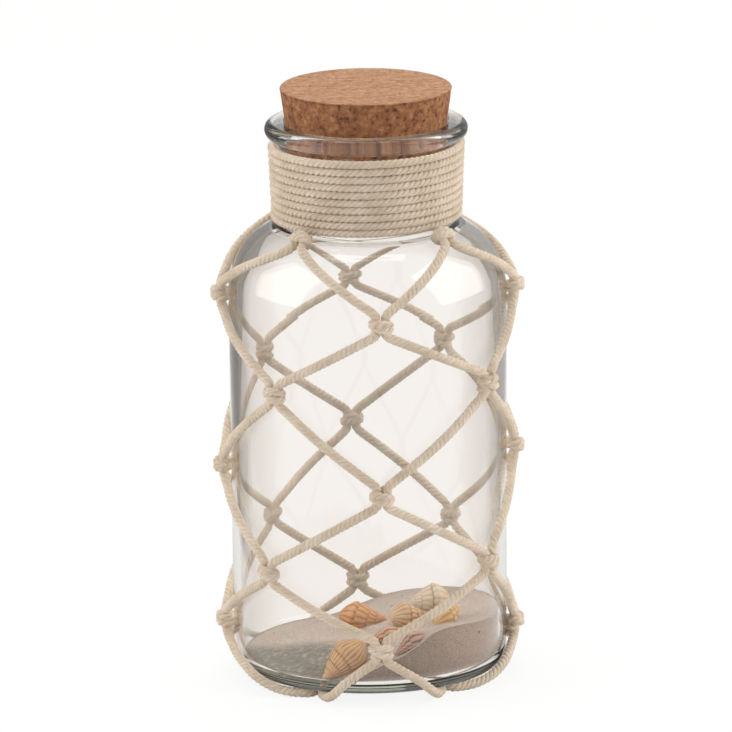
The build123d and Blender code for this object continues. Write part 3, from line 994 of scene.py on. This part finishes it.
def sand_material():
    """Mixed pale grains with a few dark ones; grey and patchy at the front left, partly for grains
    spread thinly on the glass and partly as painted shade; and painted shade on its side against
    the glass.
    """
    made, tree, shader = new_material("pale_sand")
    shader.inputs["Roughness"].default_value = 0.95
    place = add_node(tree, "TexCoord")
    grains = add_node(tree, "TexVoronoi", Scale=2600.0)
    split = add_node(tree, "SeparateColor")
    tones = add_ramp(
        tree,
        (0.0, (0.4, 0.309, 0.246)), (0.25, (0.546, 0.455, 0.382)),
        (0.7, (0.628, 0.537, 0.464)), (1.0, (0.728, 0.655, 0.582)),
    )
    dark = add_node(tree, "TexVoronoi", Scale=420.0)
    dark_split = add_node(tree, "SeparateColor")
    is_dark = add_node(tree, "Math", operation="LESS_THAN")
    is_dark.inputs[1].default_value = dark_grain_share
    near_centre = add_node(tree, "Math", operation="LESS_THAN")
    near_centre.inputs[1].default_value = dark_grain_reach
    both = add_node(tree, "Math", operation="MULTIPLY")
    speckled = add_mix(tree, B=(0.10, 0.07, 0.06, 1.0))
    thin_and_shade = add_node(tree, "Attribute", attribute_name="thin_and_shade")
    blotches = add_node(tree, "TexNoise", Scale=420.0, Detail=4.0)
    # Greys for the front left: partly scattered grains on the glass floor, partly painted shade.
    thin_shade_greys = add_ramp(
        tree,
        (0.35, (0.19, 0.175, 0.135)), (0.55, (0.27, 0.245, 0.20)), (0.7, (0.44, 0.40, 0.34)),
    )
    thin_and_shaded = add_mix(tree)
    wall_side = add_node(tree, "Attribute", attribute_name="wall_side")
    # Painted shade: the sand's side against the glass is darkened and reddened.
    side_shade = add_mix(tree, "MULTIPLY", B=(0.60, 0.51, 0.455, 1.0))
    bump = add_node(tree, "Bump", Strength=0.8, Distance=0.0004)
    link_nodes(
        tree,
        ((place, "Object"), (grains, "Vector")),
        ((place, "Object"), (dark, "Vector")),
        ((place, "Object"), (blotches, "Vector")),
        ((grains, "Color"), (split, "Color")),
        ((split, "Red"), (tones, "Fac")),
        ((dark, "Color"), (dark_split, "Color")),
        ((dark_split, "Red"), (is_dark, 0)),
        ((dark, "Distance"), (near_centre, 0)),
        ((is_dark, 0), (both, 0)),
        ((near_centre, 0), (both, 1)),
        ((both, 0), (speckled, "Factor")),
        ((tones, "Color"), (speckled, "A")),
        ((blotches, "Fac"), (thin_shade_greys, "Fac")),
        ((thin_and_shade, "Fac"), (thin_and_shaded, "Factor")),
        ((speckled, "Result"), (thin_and_shaded, "A")),
        ((thin_shade_greys, "Color"), (thin_and_shaded, "B")),
        ((wall_side, "Fac"), (side_shade, "Factor")),
        ((thin_and_shaded, "Result"), (side_shade, "A")),
        ((side_shade, "Result"), (shader, "Base Color")),
        ((grains, "Distance"), (bump, "Height")),
        ((bump, "Normal"), (shader, "Normal")),
    )
    return made


def clamped(value):
    """The value, kept between 0 and 1."""
    return max(0.0, min(1.0, value))


sand = sand_mesh()
# The front left, where the sand lies thinly, is painted grey: partly scattered grains on the glass,
# partly painted shade.
thin_and_shade_layer = sand.data.attributes.new("thin_and_shade", "FLOAT", "POINT")
# The sand's side against the glass, which the material darkens with painted shade.
wall_side = sand.data.attributes.new("wall_side", "FLOAT", "POINT")
for vertex in sand.data.vertices:
    main, front = sand_slopes(vertex.co.x, vertex.co.y)
    thin_and_shade = clamped((main - front - grey_start) / grey_fade)
    thin_and_shade *= clamped((grey_right_end - vertex.co.x) / grey_side_fade)
    thin_and_shade_layer.data[vertex.index].value = thin_and_shade
    wall_side.data[vertex.index].value = vertex.co.xy.length > sand_radius * sand_side_share
sand.data.materials.append(sand_material())
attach(sand, "bottle")
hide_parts("sand_bed")

# Shells
# Eight small, chalky sea shells lie half sunk in the sand. Their ribbed whorls wind round the axis
# and grow by the same share with every turn, down to a wide last whorl with the mouth in its side.
shell_sink_share = 0.28
shell_rows = 30
last_whorl_rows = 39
shell_sides = 120
last_seam_share = 0.46
widest_share = 0.66
tip_share = 0.22
tip_power = 0.88
foot_power = 1.7
foot_narrowing = 0.76
seam_depth = 0.19
seam_width = 0.12
swell_growth = 0.04
swell_start = 0.3
swell_power = 0.6
swell_fade = 0.7
mouth_middle_share = 0.72
mouth_half_length = 0.25
mouth_half_turn = 0.13
mouth_depth = 0.42
mouth_steepness = 2.2
shell_facts = {
    # name: length, width, place as shares of the sand's radius, way of the tip, its fall, roll,
    # turns, growth, ribs a turn, rib depth, cords a whorl, cord depth, slant of the ribs
    "ribbed_whelk_shell": (
        0.0255, 0.0158, (-0.220, -0.80), 208.0, 38.0, 270.0,
        5.0, 1.50, 24, 0.018, 0, 0.0, 0.15,
    ),
    "ridged_whelk_shell": (
        0.0222, 0.0132, (-0.045, 0.09), 348.0, 3.0, 270.0,
        4.5, 1.62, 13, 0.028, 0, 0.0, 0.5,
    ),
    "red_striped_shell": (
        0.0200, 0.0084, (0.085, -0.54), 215.0, 10.0, 250.0,
        6.0, 1.42, 9, 0.040, 0, 0.0, 0.4,
    ),
    "small_round_shell": (
        0.0165, 0.0088, (0.29, -0.84), 215.0, 24.0, 290.0,
        6.0, 1.45, 9, 0.040, 0, 0.0, 0.4,
    ),
    "pale_large_shell": (
        0.0205, 0.0150, (0.45, 0.24), 200.0, 4.0, 270.0,
        4.0, 1.68, 14, 0.016, 0, 0.0, 0.5,
    ),
    "pale_yellow_shell": (
        0.0190, 0.0122, (0.31, -0.11), 30.0, 4.0, 290.0,
        4.5, 1.58, 15, 0.018, 2, 0.006, 0.4,
    ),
    "yellow_striped_shell": (
        0.0170, 0.0118, (0.60, -0.33), 50.0, -15.0, 250.0,
        4.5, 1.60, 12, 0.030, 0, 0.0, 0.5,
    ),
    "shell_fragment": (
        0.0070, 0.0042, (0.06, -0.90), 20.0, 0.0, 0.0,
        3.0, 1.60, 7, 0.060, 0, 0.0, 0.3,
    ),
}
shell_colours = {
    # name: crest of the ribs, ground between them, tip
    "ribbed_whelk_shell": ((0.64, 0.40, 0.18), (0.42, 0.17, 0.05), (0.66, 0.45, 0.31)),
    "ridged_whelk_shell": ((0.628, 0.318, 0.112), (0.404, 0.155, 0.043), (0.568, 0.258, 0.086)),
    "red_striped_shell": ((0.636, 0.421, 0.292), (0.344, 0.112, 0.06), (0.533, 0.275, 0.181)),
    "small_round_shell": ((0.568, 0.361, 0.249), (0.241, 0.077, 0.043), (0.413, 0.206, 0.129)),
    "pale_large_shell": ((0.654, 0.542, 0.413), (0.542, 0.421, 0.301), (0.636, 0.542, 0.421)),
    "pale_yellow_shell": ((0.611, 0.43, 0.249), (0.447, 0.224, 0.086), (0.568, 0.37, 0.198)),
    "yellow_striped_shell": ((0.679, 0.464, 0.181), (0.499, 0.232, 0.06), (0.697, 0.482, 0.163)),
    "shell_fragment": ((0.447, 0.284, 0.129), (0.189, 0.095, 0.043), (0.378, 0.224, 0.103)),
}


def shell_mesh(name, length, width, turns, growth, ribs, rib_depth, cords, cord_depth, slant):
    """A shell with its tip at the origin and its foot towards -Z, in rows along its growth."""
    rows = ceil(turns * shell_rows) + 1
    shares = [last_seam_share * growth ** (row / shell_rows - turns) for row in range(rows)]
    shares += [
        last_seam_share + (1 - last_seam_share) * row / last_whorl_rows
        for row in range(1, last_whorl_rows + 1)
    ]
    rings, crest, mouth, tip_part = [[(0.0, 0.0, 0.0)]], [0.5], [0.0], [1.0]
    for share in shares:
        if share < widest_share:
            envelope = (share / widest_share) ** tip_power
        else:
            to_foot = (share - widest_share) / (1 - widest_share)
            envelope = 1 - foot_narrowing * to_foot**foot_power
        rings.append([])
        for side in range(shell_sides):
            around = side / shell_sides
            whorl = log(share / last_seam_share) / log(growth) - around
            down_whorl = whorl % 1 if whorl < 0 else whorl
            if whorl < 0:
                swell = max(0.0, sin(pi * down_whorl)) ** swell_power
            else:
                swell = min(1.0, down_whorl / swell_start) ** swell_power
                swell *= 1 - swell_fade * share**3
            rib = cos(2 * pi * (ribs * around + slant * down_whorl))
            reach = 1 - seam_depth * exp(-down_whorl / seam_width) + swell_growth * swell
            reach *= 1 + rib_depth * rib * swell + cord_depth * cos(4 * pi * cords * down_whorl)
            from_mouth = min(around, 1 - around) / mouth_half_turn
            along_mouth = (share - mouth_middle_share) / mouth_half_length
            inside = clamped((1 - from_mouth**2 - along_mouth**2) * mouth_steepness)
            radius = width / 2 * envelope * reach * (1 - mouth_depth * inside)
            angle = 2 * pi * around
            rings[-1].append((radius * cos(angle), radius * sin(angle), -share * length))
            crest.append(0.5 + 0.5 * rib)
            mouth.append(inside)
            tip_part.append(max(0.0, 1 - share / tip_share))
    made = ring_mesh(name, rings)
    for label, values in (("crest", crest), ("mouth", mouth), ("tip_part", tip_part)):
        layer = made.data.attributes.new(label, "FLOAT", "POINT")
        layer.data.foreach_set("value", values)
    return made


def shell_material(name, crest_colour, ground_colour, tip_colour):
    """Chalky shell: pale ribs on a deeper ground, cloudy, with a plainer tip and painted shade in
    its mouth.
    """
    made, tree, shader = new_material(name)
    shader.inputs["Roughness"].default_value = 0.5
    crest = add_node(tree, "Attribute", attribute_name="crest")
    mouth = add_node(tree, "Attribute", attribute_name="mouth")
    tip_part = add_node(tree, "Attribute", attribute_name="tip_part")
    place = add_node(tree, "TexCoord")
    cloud = add_node(tree, "TexNoise", Scale=260.0, Detail=3.0)
    shifted = add_node(tree, "Math", operation="ADD")
    share = add_ramp(tree, (0.62, (0.0, 0.0, 0.0)), (1.12, (1.0, 1.0, 1.0)))
    ribbed = add_mix(tree, A=(*ground_colour, 1.0), B=(*crest_colour, 1.0))
    tipped = add_mix(tree, B=(*tip_colour, 1.0))
    # Painted shade: the mouth is coloured dark brown for its shadowed opening.
    mouth_shade = add_mix(tree, B=(0.20, 0.09, 0.06, 1.0))
    link_nodes(
        tree,
        ((place, "Object"), (cloud, "Vector")),
        ((crest, "Fac"), (shifted, 0)),
        ((cloud, "Fac"), (shifted, 1)),
        ((shifted, 0), (share, "Fac")),
        ((share, "Color"), (ribbed, "Factor")),
        ((tip_part, "Fac"), (tipped, "Factor")),
        ((ribbed, "Result"), (tipped, "A")),
        ((mouth, "Fac"), (mouth_shade, "Factor")),
        ((tipped, "Result"), (mouth_shade, "A")),
        ((mouth_shade, "Result"), (shader, "Base Color")),
    )
    return made


for name, facts in shell_facts.items():
    length, width, place, tip_turn, tip_fall, roll, *growth_facts = facts
    shell = shell_mesh("sea_" + name, length, width, *growth_facts)
    x, y = place[0] * sand_radius, place[1] * sand_radius
    middle = Vector((x, y, sand_height(x, y) + width * (0.5 - shell_sink_share)))
    level, turn = cos(radians(tip_fall)), radians(tip_turn)
    to_tip = Vector((level * cos(turn), level * sin(turn), -sin(radians(tip_fall))))
    tip = middle + to_tip * length / 2
    turned = to_tip.to_track_quat("Z", "Y").to_matrix().to_4x4()
    rolled = Matrix.Rotation(radians(roll), 4, "Z")
    shell.data.transform(Matrix.Translation(tip) @ turned @ rolled)
    shell.data.materials.append(shell_material(name + "_finish", *shell_colours[name]))
    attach(shell, "bottle")
    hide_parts(name)
